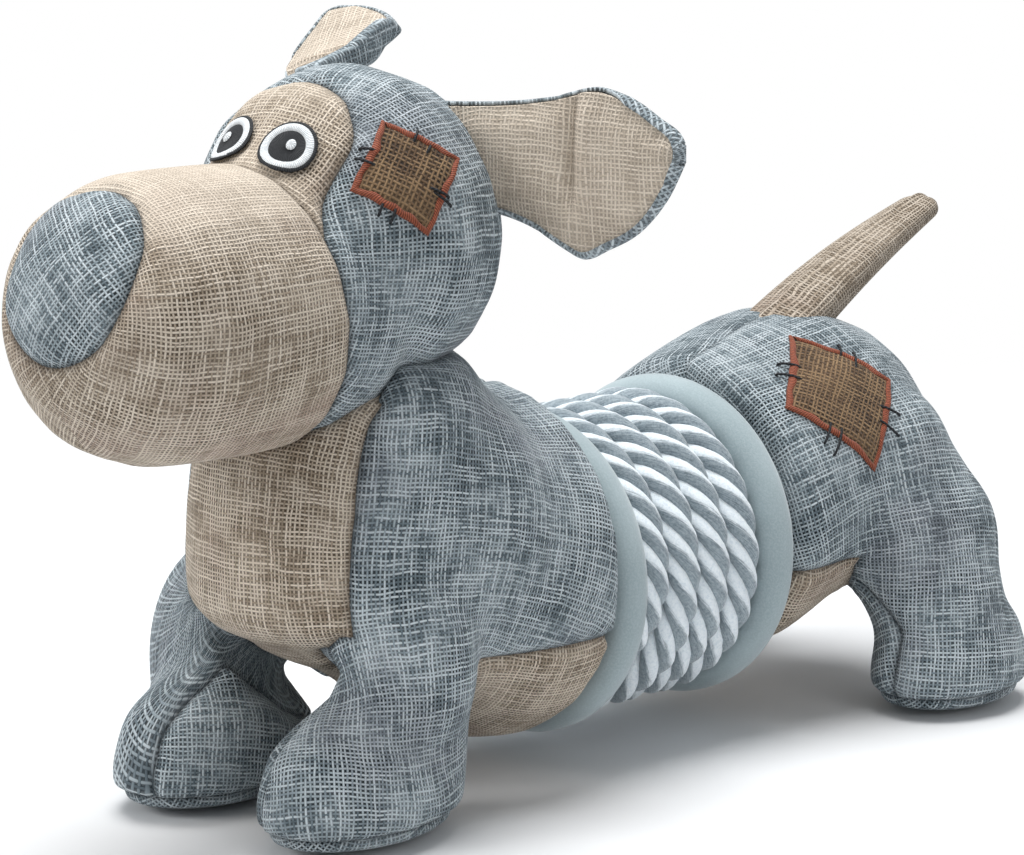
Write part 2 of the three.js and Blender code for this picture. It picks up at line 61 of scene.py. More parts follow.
# Cloth
voxel = 0.0024
cloth_thickness = 0.0012
stuffing_reach = 0.0016
swell = 0.0022
stuffing_pressure = 4
settling_frames = 20
seam_depth, seam_width, seam_shade = 0.0014, 0.0016, 0.0008
thread_pitch = 0.00098
patch_thickness, stitch_thickness = 0.0008, 0.0007
millimetre = 0.001
touching = 1e-6

# Places shared by several pieces
middle_x = -0.00437
waist = Vector((middle_x, 0.02047, 0.046))
head = Vector((middle_x, -0.06203, 0.134))
rump = Vector((middle_x, 0.07747, 0.061))


# Shader maths


def paint(code):
    """A colour written as a six-digit code, in Blender's linear light."""
    parts = [int(code[start:start + 2], 16) / 255 for start in (0, 2, 4)]
    return [p / 12.92 if p <= 0.04045 else ((p + 0.055) / 1.055) ** 2.4 for p in parts] + [1.0]


class Signal:
    """A shader socket that adds its Math nodes as it is reckoned with."""

    def __init__(self, nodes, socket):
        self.nodes = nodes
        self.socket = socket

    def maths(self, operation, *others):
        return self.nodes.node("ShaderNodeMath", {"operation": operation}, dict(enumerate((self, *others))))

    def __add__(self, other):
        return self.maths("ADD", other)

    def __sub__(self, other):
        return self.maths("SUBTRACT", other)

    def __mul__(self, other):
        return self.maths("MULTIPLY", other)

    def __rsub__(self, other):
        return (self * -1) + other

    __radd__ = __add__
    __rmul__ = __mul__

    def floor(self):
        return self.maths("FLOOR")

    def fraction(self):
        return self.maths("FRACT")

    def wave(self):
        """The cosine of the signal, counted in turns."""
        return (self * (2 * pi)).maths("COSINE")

    def ramp(self, low, high):
        """Nought at low, one at high and smooth between them."""
        settings = {"interpolation_type": "SMOOTHSTEP"}
        return self.nodes.node("ShaderNodeMapRange", settings, {0: self, 1: low, 2: high})


class Nodes:
    """A node tree that is written as expressions on its signals."""

    def __init__(self, tree):
        self.tree = tree

    def node(self, kind, settings=None, inputs=None, output=0):
        made = self.tree.nodes.new(kind)
        for key, value in (settings or {}).items():
            setattr(made, key, value)
        for key, value in (inputs or {}).items():
            self.feed(made.inputs[key], value)
        return Signal(self, made.outputs[output])

    def feed(self, socket, value):
        if isinstance(value, Signal):
            self.tree.links.new(value.socket, socket)
        else:
            socket.default_value = value


class Finish(Nodes):
    """One material."""

    def __init__(self, name, roughness=0.9, sheen=0.0):
        self.material = bpy.data.materials.new(name)
        self.material.use_nodes = True
        super().__init__(self.material.node_tree)
        self.shader = self.tree.nodes["Principled BSDF"]
        self.shader.inputs["Roughness"].default_value = roughness
        self.shader.inputs["Sheen Weight"].default_value = sheen
        self.shader.inputs["Specular IOR Level"].default_value = 0.25

    def mix(self, share, first, second):
        """The first colour, and the second by its share."""
        return self.node("ShaderNodeMix", {"data_type": "RGBA"}, {0: share, 6: first, 7: second}, 2)

    def cloth_place(self):
        """Where a point lies on its own flat cloth, in metres."""
        uv = self.node("ShaderNodeUVMap", {"uv_map": "cloth"})
        along = self.node("ShaderNodeSeparateXYZ", inputs={0: uv}, output=0)
        across = self.node("ShaderNodeSeparateXYZ", inputs={0: uv}, output=1)
        return along, across

    def vector(self, x, y, z=0.0):
        return self.node("ShaderNodeCombineXYZ", inputs={0: x, 1: y, 2: z})

    def object_place(self):
        return self.node("ShaderNodeTexCoord", output=3)

    def marked(self, name):
        """What the piece's own mesh says at a point, such as how near a seam it is."""
        return self.node("ShaderNodeAttribute", {"attribute_name": name}, output=2)

    def noise(self, place, scale, detail=2.0, roughness=0.5):
        if isinstance(place, tuple):
            place = self.vector(*place)
        inputs = {"Vector": place, "Scale": scale, "Detail": detail, "Roughness": roughness}
        return self.node("ShaderNodeTexNoise", inputs=inputs)

    def show(self, color, height=None, depth=0.0, strength=0.0):
        """The material in this colour, with its relief as deep as the depth in metres."""
        self.feed(self.shader.inputs["Base Color"], color)
        if height is not None:
            inputs = {"Height": height, "Distance": depth, "Strength": strength}
            self.feed(self.shader.inputs["Normal"], self.node("ShaderNodeBump", inputs=inputs))
        return self.material


# Finishes


def woven(name, pitch, pale, plain, dark, gap_shade, tint):
    """Open plain weave of thin threads, each with its own tone, with painted shade in the gaps between
    them.
    """
    wander, sway = 1.5, 0.5  # how far threads stray, in threads: all together, and each alone
    crimp, lift = 0.30, 0.9  # how far a thread rises where it passes over, and where it is pale
    finish = Finish(name, sheen=0.1)
    along, across = finish.cloth_place()
    drift = finish.noise((along, across), 75.0)
    s = along * (1 / pitch) + drift * wander
    t = across * (1 / pitch) + (1 - drift) * wander
    warp, weft = s.floor(), t.floor()
    slip = finish.noise((warp * 5.3, t * 0.22), 1.0, 0.0) - 0.5
    skip = finish.noise((s * 0.22, weft * 5.3, 70.0), 1.0, 0.0) - 0.5
    warp_wave = (s.fraction() - 0.5 + slip * sway).wave() * 0.5 + 0.5
    weft_wave = (t.fraction() - 0.5 + skip * sway).wave() * 0.5 + 0.5
    over_under = ((warp + weft) * 0.5).fraction() * 4 - 1
    warp_tone = finish.noise((warp * 3.17, t * 0.07), 1.0, 2.0, 0.6)
    weft_tone = finish.noise((s * 0.07, weft * 3.17, 40.0), 1.0, 2.0, 0.6)
    warp_rise = warp_wave + over_under * weft_wave * crimp + (warp_tone - 0.5) * lift
    weft_rise = weft_wave - over_under * warp_wave * crimp + (weft_tone - 0.5) * lift
    on_top = (warp_rise - weft_rise).ramp(-0.1, 0.1)
    height = warp_wave * on_top + weft_wave * (1 - on_top)
    tone = warp_tone * on_top + weft_tone * (1 - on_top)

    # thread colours, in patches
    patchy = finish.noise((along, across, 3.0), 50.0, 3.0) - 0.5
    bright = (tone - 0.5 + patchy * 0.25).ramp(-0.15, 0.17)
    deep = (0.5 - tone - patchy * 0.4).ramp(0.0, 0.22)
    color = finish.mix(bright, paint(plain), paint(pale))
    color = finish.mix(deep * 0.7, color, paint(dark))
    hue = finish.noise((along, across, 9.0), 30.0).ramp(0.5, 0.75)
    color = finish.mix(hue * 0.4, color, paint(tint))

    # painted shade in the gaps between threads and where the mesh marks it (seams, creases, the tail), and
    # painted light where the mesh marks it
    depth = finish.noise((along, across, 21.0), 70.0).ramp(0.3, 0.7)
    between = 1 - height.ramp(0.32, 0.86)
    color = finish.mix(between * (0.62 + depth * 0.38), color, paint(gap_shade))
    color = finish.mix(finish.marked("hem") * 0.6, color, paint(gap_shade))
    color = finish.mix(finish.marked("rubbed"), color, paint(pale))
    return finish.show(color, height, pitch * 0.4, 0.8)


def plush():
    finish = Finish("short plush", roughness=0.95, sheen=0.45)
    place = finish.object_place()
    nap = finish.noise(place, 1900.0, 2.0, 0.7)
    rub = finish.noise(place, 40.0)
    color = finish.mix(rub.ramp(0.3, 0.75), paint("97a6aa"), paint("a5b4b8"))
    color = finish.mix(nap.ramp(0.35, 0.75) * 0.25, color, paint("c3cfd3"))
    return finish.show(color, nap, 0.0002, 0.45)


def twisted_cotton():
    """Two-coloured rope strands: fluffy white yarn on one side of each, grey on the other."""
    finish = Finish("twisted cotton", roughness=0.95, sheen=0.35)
    around, along = finish.cloth_place()
    place = finish.object_place()
    clump = finish.noise((around * 5, along * 150), 1.0, 3.0, 0.6)
    fibre = finish.noise((around * 60 + along * 500, along * 260), 1.0, 3.0, 0.75)
    fluff = finish.noise(place, 1500.0, 3.0, 0.75)
    side = (around + 0.25 + (clump - 0.5) * 0.15 + (fibre - 0.5) * 0.16).wave()
    grey = side.ramp(-0.2, 0.3)
    white = finish.mix(fluff.ramp(0.25, 0.6), paint("d6e2ea"), paint("f0f7fb"))
    ash = finish.mix((fibre * 0.6 + fluff * 0.4).ramp(0.35, 0.62), paint("707d84"), paint("aab6bd"))
    color = finish.mix(grey, white, ash)
    return finish.show(color, fluff * 0.8 + fibre * 0.5, 0.0005, 0.55)


def satin_stitch(name, dull, bright, pitch):
    """Embroidery: threads laid side by side across the piece, with a painted highlight on each thread's
    crest.
    """
    finish = Finish(name, roughness=0.6, sheen=0.1)
    along, across = finish.cloth_place()
    stray = finish.noise((along, across), 900.0)
    thread = (along * (1 / pitch) + stray * 0.8).wave() * 0.5 + 0.5
    tone = finish.noise(((along * (1 / pitch)).floor(), across * 200), 1.0, 1.0)
    # paler on each thread's crest (painted highlight) and by each thread's own random tone
    color = finish.mix((thread * 0.6 + tone * 0.6).ramp(0.25, 0.95), paint(dull), paint(bright))
    return finish.show(color, thread, pitch * 0.4, 0.7)


def spun_thread():
    finish = Finish("black thread", roughness=0.65)
    around, along = finish.cloth_place()
    ply = (around * 2 + along * 900).wave() * 0.5 + 0.5
    # paler along the twisted plies' crests: painted highlight
    color = finish.mix(ply, paint("0e0f11"), paint("2c2f33"))
    return finish.show(color, ply, 0.00015, 0.7)


def wadding():
    finish = Finish("wadding", roughness=1.0, sheen=0.2)
    place = finish.object_place()
    tuft = finish.noise(place, 130.0, 5.0, 0.7)
    color = finish.mix(tuft.ramp(0.3, 0.7), paint("d9d8d0"), paint("f4f3ee"))
    return finish.show(color, tuft, 0.0012, 0.6)


def moulded(name, low, high, roughness):
    finish = Finish(name, roughness=roughness)
    grain = finish.noise(finish.object_place(), 700.0, 3.0)
    color = finish.mix(grain, paint(low), paint(high))
    return finish.show(color, grain, 0.0001, 0.3)


finishes = {
    "blue_cloth": woven("blue linen", thread_pitch, "cad4d9", "7c8b92", "404c53", "151e23", "8a8991"),
    "beige_cloth": woven("beige linen", thread_pitch, "e0d3c2", "b2a390", "7f705e", "4d4133", "b0988c"),
    "burlap": woven("burlap", 0.00115, "94795a", "6b543e", "443324", "1d150d", "735640"),
    "short_plush": plush(),
    "cotton_rope": twisted_cotton(),
    "rust_thread": satin_stitch("rust thread", "64301f", "a2573c", 0.00055),
    "white_thread": satin_stitch("white thread", "c3c9cd", "f2f5f7", 0.0005),
    "black_thread": spun_thread(),
    "wadding": wadding(),
    "squeaker_plastic": moulded("squeaker bulb", "d8d2c0", "ece7da", 0.4),
    "reed_plastic": moulded("squeaker reed", "b9bdc1", "d4d7da", 0.35),
}


# Meshes


def eased(share):
    share = min(max(share, 0.0), 1.0)
    return share * share * (3 - 2 * share)


def object_of(name, mesh):
    made = bpy.data.objects.new(name, mesh)
    scene.collection.objects.link(made)
    return made


def mesh_of(bm, name):
    mesh = bpy.data.meshes.new(name)
    bm.to_mesh(mesh)
    bm.free()
    return mesh


def reworked(mesh, work):
    """Changes a mesh through a bmesh."""
    bm = bmesh.new()
    bm.from_mesh(mesh)
    work(bm)
    bm.to_mesh(mesh)
    bm.free()


def marked(mesh, name, value_at):
    """Writes a number at each point of a mesh, for its finish to read."""
    layer = mesh.attributes.new(name, "FLOAT", "POINT")
    for vert, mark in zip(mesh.vertices, layer.data):
        mark.value = value_at(vert.co)


def worked(holder):
    """A mesh with the holder's modifiers worked in; the holder is removed."""
    depsgraph = bpy.context.evaluated_depsgraph_get()
    mesh = bpy.data.meshes.new_from_object(holder.evaluated_get(depsgraph))
    bpy.data.objects.remove(holder)
    return mesh


def finished(name, mesh, slot, *nodes, body="toy"):
    """Puts a piece on its body with its finish, in place of its CAD nodes."""
    piece = object_of(name, mesh)
    mesh.materials.clear()
    mesh.materials.append(finishes[slot])
    for face in mesh.polygons:
        face.use_smooth = True
    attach(piece, body)
    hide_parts(*nodes)
    return piece


def modify(piece, name, kind, **settings):
    added = piece.modifiers.new(name, kind)
    for setting, value in settings.items():
        setattr(added, setting, value)


def thicken(piece, thickness, offset=-1.0):
    modify(piece, "thickness", "SOLIDIFY", thickness=thickness, offset=offset, use_quality_normals=True)


def grown(node, amount):
    """A CAD node's surface, closed and moved out by an amount."""
    bm = bmesh.new()
    bm.from_mesh(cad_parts[node].data)
    bmesh.ops.remove_doubles(bm, verts=bm.verts, dist=touching)
    bm.normal_update()
    for vert in bm.verts:
        vert.co += vert.normal * amount
    return bm


def fused(name, parts, size, rounds, bridges=(), drum=None, begun=None):
    """One smooth skin round several grown nodes and the rounds that bridge them.

    A drum, given as its middle's y and z and its radius, is the full edge behind a collar.
    What is begun is a bmesh that the skin also takes in.
    """
    drum_depth = 0.0185
    whole = bmesh.new()
    if begun:
        whole.from_mesh(mesh_of(begun, name))
    if drum:
        y, z, reach = drum
        lying = Matrix.Translation((middle_x, y, z)) @ Matrix.Rotation(pi / 2, 4, "X")
        bmesh.ops.create_cone(
            whole, cap_ends=True, segments=96, radius1=reach, radius2=reach, depth=drum_depth, matrix=lying
        )
    for (x, y, z), reach in bridges:
        shape = Matrix.Translation((middle_x + x, y, z)) @ Matrix.Diagonal((*reach, 1))
        bmesh.ops.create_icosphere(whole, subdivisions=4, radius=1, matrix=shape)
    for node, amount in parts.items():
        whole.from_mesh(mesh_of(grown(node, amount), node))
    holder = object_of(name, mesh_of(whole, name))
    modify(holder, "fuse", "REMESH", mode="VOXEL", voxel_size=size)
    modify(holder, "relax", "SMOOTH", iterations=rounds)
    mesh = worked(holder)
    reworked(mesh, keep_largest)
    return mesh


def islands_of(items, near):
    """The groups of items that hang together."""
    left = set(items)
    while left:
        island = [left.pop()]
        for item in island:
            found = left.intersection(near(item))
            left -= found
            island.extend(found)
        yield island


def keep_largest(bm):
    """Leaves only the outer skin, without the hollows that the fusing shut in."""
    islands = islands_of(bm.verts, lambda vert: [edge.other_vert(vert) for edge in vert.link_edges])
    for island in sorted(islands, key=len)[:-1]:
        bmesh.ops.delete(bm, geom=island, context="VERTS")


def stuffed(name, mesh, held):
    """Cloth pressed out by its stuffing, as far as the swell, and held where it is sewn."""
    start = [vert.co.copy() for vert in mesh.vertices]
    holder = object_of(name, mesh)
    sewn = holder.vertex_groups.new(name="sewn")
    for vert in mesh.vertices:
        sewn.add([vert.index], held(vert.co), "REPLACE")
    cloth = holder.modifiers.new("cloth", "CLOTH")
    cloth.settings.use_pressure = True
    cloth.settings.uniform_pressure_force = stuffing_pressure
    cloth.settings.effector_weights.gravity = 0
    cloth.settings.vertex_group_mass = "sewn"
    cloth.collision_settings.use_collision = False
    for step in range(settling_frames):
        scene.frame_set(step + 1)
    moved = worked(holder)
    scene.frame_set(1)
    puffed = [vert.co.copy() for vert in moved.vertices]
    for vert, before, after in zip(mesh.vertices, start, puffed):
        shift = after - before
        if shift.length > swell:
            shift *= swell / shift.length
        vert.co = before + shift
        vert.co.z = max(vert.co.z, 0.0)
    holder = object_of(name, mesh)
    modify(holder, "relax", "SMOOTH", iterations=2)
    modify(holder, "fine", "SUBSURF", levels=1, render_levels=1)
    skin = bmesh.new()
    skin.from_mesh(worked(holder))
    return skin


def cut_along(bm, field, where=lambda place: True):
    """Splits the faces on the line where a field is nought, so that a seam runs smoothly."""
    value = {vert: field(vert.co) for vert in bm.verts}
    edges = [edge for edge in bm.edges if where((edge.verts[0].co + edge.verts[1].co) / 2)]
    for edge in edges:
        first, second = edge.verts
        if value[first] * value[second] < 0:
            share = value[first] / (value[first] - value[second])
            if share < 0.25 or share > 0.75:
                near = first if share < 0.5 else second
                near.co = first.co.lerp(second.co, share)
                value[near] = 0.0
    for edge in edges:
        first, second = edge.verts
        if value[first] * value[second] < 0:
            share = value[first] / (value[first] - value[second])
            made = bmesh.utils.edge_split(edge, first, share)[1]
            value[made] = 0.0
    for face in list(bm.faces):
        on_line = [vert for vert in face.verts if value[vert] == 0.0]
        if len(on_line) == 2 and not any(on_line[1] in edge.verts for edge in on_line[0].link_edges):
            bmesh.utils.face_split(face, on_line[0], on_line[1])
    bm.normal_update()


def lay_flat(piece, grain):
    """Unwraps a panel to its flat cloth in metres, with its threads along the grain."""
    mesh = piece.data
    if "cloth" not in mesh.uv_layers:
        mesh.uv_layers.new(name="cloth")
    bpy.ops.object.select_all(action="DESELECT")
    bpy.context.view_layer.objects.active = piece
    piece.select_set(True)
    bpy.ops.object.mode_set(mode="EDIT")
    bpy.ops.mesh.select_all(action="SELECT")
    bpy.ops.uv.unwrap(method="MINIMUM_STRETCH", iterations=12, margin=0.0)
    bpy.ops.object.mode_set(mode="OBJECT")

    def straighten(bm):
        def joined(face):
            return [other for edge in face.edges if not edge.seam for other in edge.link_faces]

        for cut in islands_of(bm.faces, joined):
            set_straight(cut, bm.loops.layers.uv["cloth"], grain)

    reworked(mesh, straighten)


def set_straight(cut, uv, grain):
    """Turns and sizes one flat piece so that its threads run with the grain."""
    turn = 0j
    real_area = flat_area = 0.0
    for face in cut:
        along = (grain - face.normal * face.normal.dot(grain)).normalized()
        across = face.normal.cross(along)
        corner = [complex(*loop[uv].uv) for loop in face.loops]
        place = [loop.vert.co for loop in face.loops]
        for here in range(len(place)):
            step = place[here] - place[here - 1]
            flat_step = corner[here] - corner[here - 1]
            turn += flat_step.conjugate() * complex(step.dot(along), step.dot(across))
            flat_area += (corner[here - 1].conjugate() * corner[here]).imag / 2
        real_area += face.calc_area()
    scale = sqrt(real_area / max(abs(flat_area), 1e-12)) * turn / abs(turn)
    for face in cut:
        for loop in face.loops:
            there = complex(*loop[uv].uv) * scale
            loop[uv].uv = (there.real, there.imag)


def flush(place):
    """How far a place is on top of the rump, where the two sides meet almost level."""
    half_width, rump_front, rump_side = 0.012, 0.05, 0.07
    near_middle = eased((half_width - abs(place.x - middle_x)) / 0.004)
    return near_middle * eased((place.y - rump_front) / 0.005) * eased((place.z - rump_side) / 0.01)


def panel(skin, picked, name, slot, grain, *nodes, slit=None, worn=0.0):
    """One piece of cloth, cut from a skin along its seams and turned in at its edges, with painted shade
    along its seams and painted light on its upward-facing places.
    """
    normals = [vert.normal.copy() for vert in skin.verts]
    bm = skin.copy()
    bm.verts.ensure_lookup_table()
    number = bm.verts.layers.int.new("number")
    for index, vert in enumerate(bm.verts):
        vert[number] = index
    strays = [face for face in bm.faces if not picked(face.calc_center_median())]
    bmesh.ops.delete(bm, geom=strays, context="FACES")
    for edge in bm.edges:
        on_slit = all(abs(vert.co.x - middle_x) < touching for vert in edge.verts)
        edge.seam = slit is not None and on_slit and slit(edge.verts[0].co)
    rim = [vert for vert in bm.verts if vert.is_boundary]
    near = KDTree(len(rim))
    for index, vert in enumerate(rim):
        near.insert(vert.co, index)
    near.balance()
    hem = bm.verts.layers.float.new("hem")
    rubbed = bm.verts.layers.float.new("rubbed")
    depths = {}
    for vert in bm.verts:
        away = near.find(vert.co)[2]
        open_seam = 1 - 0.75 * flush(vert.co)
        depths[vert] = seam_depth * open_seam * exp(-(away / seam_width) ** 2)
        # painted shade: darker close to the seam, where its groove lies in shade
        vert[hem] = open_seam * exp(-(away / seam_shade) ** 2)
        # painted light: paler where the cloth faces upwards
        vert[rubbed] = worn * eased((vert.normal.z - 0.45) / 0.5)
    for vert, depth in depths.items():
        vert.co -= normals[vert[number]] * depth
    piece = finished(name, mesh_of(bm, name), slot, *nodes)
    lay_flat(piece, Vector(grain))
    thicken(piece, cloth_thickness)
    return piece


def sheet_of(name, columns, rows, place, spread=(1.0, 1.0)):
    """A grid whose points are placed by their shares across and along; touching edges are joined."""
    bm = bmesh.new()
    uv = bm.loops.layers.uv.new("cloth")
    bmesh.ops.create_grid(bm, x_segments=columns, y_segments=rows, size=0.5)
    for face in bm.faces:
        for loop in face.loops:
            corner = loop.vert.co
            loop[uv].uv = ((corner.x + 0.5) * spread[0], (corner.y + 0.5) * spread[1])
    for vert in bm.verts:
        vert.co = place(vert.co.x + 0.5, vert.co.y + 0.5)
    bmesh.ops.remove_doubles(bm, verts=bm.verts, dist=touching)
    return mesh_of(bm, name)


# Seams


def plane_field(point, normal):
    """Tells how far a place is in front of a plane."""
    point, unit = Vector(point), Vector(normal).normalized()
    return lambda place: (place - point).dot(unit)


nose_lean, nose_curve = radians(27), 5.8
muzzle_lean = radians(5)
chin_seam_top = 0.12
nose_plane = plane_field((0, -0.1409, 0.1320), (0, -cos(nose_lean), sin(nose_lean)))
muzzle_seam = plane_field((0, -0.09153, 0.119), (0, -cos(muzzle_lean), -sin(muzzle_lean)))
face_seam = plane_field((0, -0.07203, 0.170), (0, -0.0274, 0.0181))


def off_middle(place):
    return place.x - middle_x


def nose_seam(place):
    """The nose is taller than it is wide."""
    return nose_plane(place) - nose_curve * off_middle(place) ** 2


def nearness(*nodes):
    """Tells how far a place is from the nearest of some CAD nodes."""
    trees = []
    for node in nodes:
        bm = grown(node, 0.0)
        trees.append(BVHTree.FromBMesh(bm))
        bm.free()
    return lambda place: min(tree.find_nearest(place)[3] for tree in trees)


# Places on the skin


def facing(centre, turn, lift, roll=0.0):
    """Across, up and outward directions for something sewn on the skin."""
    turn, lift, roll = (radians(angle) for angle in (turn, lift, roll))
    outward = Vector((cos(lift) * sin(turn), -cos(lift) * cos(turn), sin(lift)))
    upright = (Vector((0, 0, 1)) - outward * outward.z).normalized()
    flat = upright.cross(outward)
    across = flat * cos(roll) + upright * sin(roll)
    upward = upright * cos(roll) - flat * sin(roll)
    return centre, across, upward, outward


def laid(tree, spot, x, y, rise):
    """The place on a skin in front of (x, y) millimetres of a spot, raised by some metres."""
    well_above = 0.09
    centre, across, upward, outward = spot
    above = centre + (across * x + upward * y) * millimetre + outward * well_above
    hit, normal, _, _ = tree.ray_cast(above, -outward)
    return hit + normal * rise


def thread_between(name, tree, spot, start, end, *nodes):
    """A hand stitch: it comes out of the cloth, lies over it and goes back in."""
    arch, sunk, thread_radius, steps = 0.0017, 0.0006, 0.00032, 14
    route = []
    for step in range(steps + 1):
        share = step / steps
        x, y = (start[axis] + (end[axis] - start[axis]) * share for axis in (0, 1))
        route.append(laid(tree, spot, x, y, arch * sin(pi * share) ** 0.35 - sunk))
    tube = tube_along(name, route, 8, lambda place, reach: thread_radius)
    finished(name, tube, "black_thread", *nodes)


def tube_along(name, route, sides, radius_at, outwards=None):
    """A tube on a route, unwrapped as (share of the way round, metres along).

    Outwards says which way the tube's first side faces at each point; without it the side runs on.
    """
    count = len(route) - 1
    length = sum((there - here).length for here, there in zip(route, route[1:]))
    directions = [(route[min(i + 1, count)] - route[max(i - 1, 0)]).normalized() for i in range(count + 1)]
    side = directions[0].orthogonal()
    faced = []
    for index, direction in enumerate(directions):
        side = outwards[index] if outwards else side
        side = (side - direction * side.dot(direction)).normalized()
        faced.append(side)

    def place(around, along):
        index = round(along * count)
        turn = 2 * pi * around
        reach = faced[index] * cos(turn) + directions[index].cross(faced[index]) * sin(turn)
        return route[index] + reach * radius_at(route[index], reach)

    return sheet_of(name, sides, count, place, (1.0, length))


# Head


def sewn_head(place):
    seams = (abs(nose_seam(place)), abs(muzzle_seam(place)))
    return 1.0 if min(seams) < voxel * 0.7 else 0.0


# how far the cloth lies outside each filling
head_reach = {"head_filling": 0.0014, "muzzle_filling": 0.0025}
head_skin = stuffed("head", fused("head", head_reach, voxel, 5), sewn_head)
cut_along(head_skin, nose_seam)
cut_along(head_skin, muzzle_seam)
cut_along(head_skin, face_seam, lambda p: muzzle_seam(p) < 0.002)
cut_along(head_skin, off_middle, lambda p: face_seam(p) < 0 or p.z < chin_seam_top)
head_tree = BVHTree.FromBMesh(head_skin)

head_panels = {
    "nose_panel": ("blue_cloth", (0.6, 0, 1), lambda p: nose_seam(p) > 0),
    "muzzle_cover": ("beige_cloth", (0, 1, 0), lambda p: nose_seam(p) < 0 < muzzle_seam(p)),
    "face_panel": ("beige_cloth", (1, 0, 0), lambda p: muzzle_seam(p) < 0 < face_seam(p)),
    "hood": ("blue_cloth", (0, 0, 1), lambda p: muzzle_seam(p) < 0 and face_seam(p) < 0),
}
for name, (slot, grain, picked) in head_panels.items():
    slit = {"hood": lambda p: True, "muzzle_cover": lambda p: p.z < chin_seam_top}.get(name)
    # how much painted light brightens each panel's upward-facing places
    worn = {"muzzle_cover": 0.55, "face_panel": 0.3}.get(name, 0.0)
    panel(head_skin, picked, name, slot, grain, name, slit=slit, worn=worn)

# Body and legs

sole_height, ankle_height = 0.0045, 0.022
leg_reach = -0.0004
bore_radius, waist_hold = 0.0275, 0.034
beside_seam = 0.0006
belly_top, belly_pull = 0.052, 0.42
pull_from_y, pull_over = -0.032, 0.036


def from_waist(place):
    return hypot(place.x - waist.x, place.z - waist.z)


def drawn_share(place):
    """By how much of its way up to the belly's top a place is drawn up."""
    return belly_pull * eased((pull_from_y - place.y) / pull_over) if place.z < belly_top else 0.0


def drawn_up(body):
    """The underside between the front legs is drawn up by their seams."""
    for vert in body.verts:
        vert.co.z += (belly_top - vert.co.z) * drawn_share(vert.co)
    return body


def let_down(place):
    """Where a place was before the underside was drawn up."""
    return Vector((place.x, place.y, belly_top - (belly_top - place.z) / (1 - drawn_share(place))))


def section(name, filling, covers, bore_ends, trim_field, split, lean, bridges, drum):
    """One end of the body with its legs: its skin, and what tells its panels apart.

    The split is how far out the seam down a leg's front runs, and the lean how fast it comes in above.
    """
    legs = {f"{side}_{name}_{part}": leg_reach for side in ("left", "right") for part in ("leg", "sole")}
    body = drawn_up(grown(filling, stuffing_reach))
    to_body, to_leg = nearness(*covers), nearness(*legs)

    def leg_field(place):
        before = let_down(place)
        return to_body(before) - to_leg(before)

    def outer_field(place):
        return abs(off_middle(place)) - split + lean * max(place.z - ankle_height, 0)

    def held(place):
        on_seam = abs(leg_field(place)) < voxel * 0.6
        return 1.0 if on_seam or place.z < sole_height or from_waist(place) < waist_hold else 0.0

    skin = stuffed(name, fused(name, legs, voxel, 11, bridges, drum, body), held)
    cut_along(skin, lambda p: p.z - sole_height)
    cut_along(skin, leg_field, lambda p: p.z > sole_height)
    cut_along(skin, trim_field, lambda p: leg_field(p) < beside_seam)
    cut_along(skin, outer_field, lambda p: leg_field(p) > -beside_seam)
    cut_along(skin, off_middle, lambda p: leg_field(p) < 0 and trim_field(p) < 0)

    def place_of(p):
        if from_waist(p) < bore_radius and bore_ends[0] < p.y < bore_ends[1]:
            return "bore"
        hand = "left" if off_middle(p) > 0 else "right"
        if p.z < sole_height:
            return f"{hand}_sole"
        if leg_field(p) > 0:
            return f"{hand}_side" if outer_field(p) > 0 else f"{hand}_inner_leg"
        return "trim" if trim_field(p) > 0 else f"{hand}_side"

    return skin, place_of


chest_belly_height, rear_belly_height = 0.037, 0.040


def chest_field(place):
    """The bib between the front legs, narrower towards the neck, and the belly under it."""
    bib_half_width, bib_back_y, neck_height, narrowing = 0.0275, -0.06353, 0.100, 2.0
    half_width = bib_half_width - narrowing * max(place.z - neck_height, 0)
    bib = min(bib_back_y - place.y, half_width - abs(off_middle(place)))
    return max(bib, chest_belly_height - place.z)


# Rounds that bridge legs and body: each one's place off the middle plane, and its reach
front_bridges = [
    ((0, -0.047, 0.0625), (0.0425, 0.031, 0.0415)),
    ((0.031, -0.072, 0.039), (0.0140, 0.0155, 0.022)),
    ((-0.0348, -0.073, 0.030), (0.0150, 0.0165, 0.028)),
]
rear_bridges = [
    ((x * hand, y, z), reach)
    for (x, y, z), reach in (
        ((0.030, 0.097, 0.060), (0.018, 0.017, 0.022)),
        ((0.033, 0.102, 0.050), (0.018, 0.017, 0.021)),
        ((0.040, 0.106, 0.040), (0.0165, 0.0158, 0.022)),
    )
    for hand in (1, -1)
]
front_skin, front_place = section(
    "front", "front_filling", ("front_cover", "chest_panel"), bore_ends=(-0.034, 0),
    trim_field=chest_field, split=0.018, lean=0, bridges=front_bridges, drum=(-0.0225, 0.0515, 0.0425),
)
rear_skin, rear_place = section(
    "rear", "rear_filling", ("rear_cover", "rear_belly_panel"), bore_ends=(0, 0.075),
    trim_field=lambda p: rear_belly_height - p.z, split=0.047, lean=1.1, bridges=rear_bridges,
    drum=(0.0635, 0.0520, 0.0380),
)
rear_tree = BVHTree.FromBMesh(rear_skin)

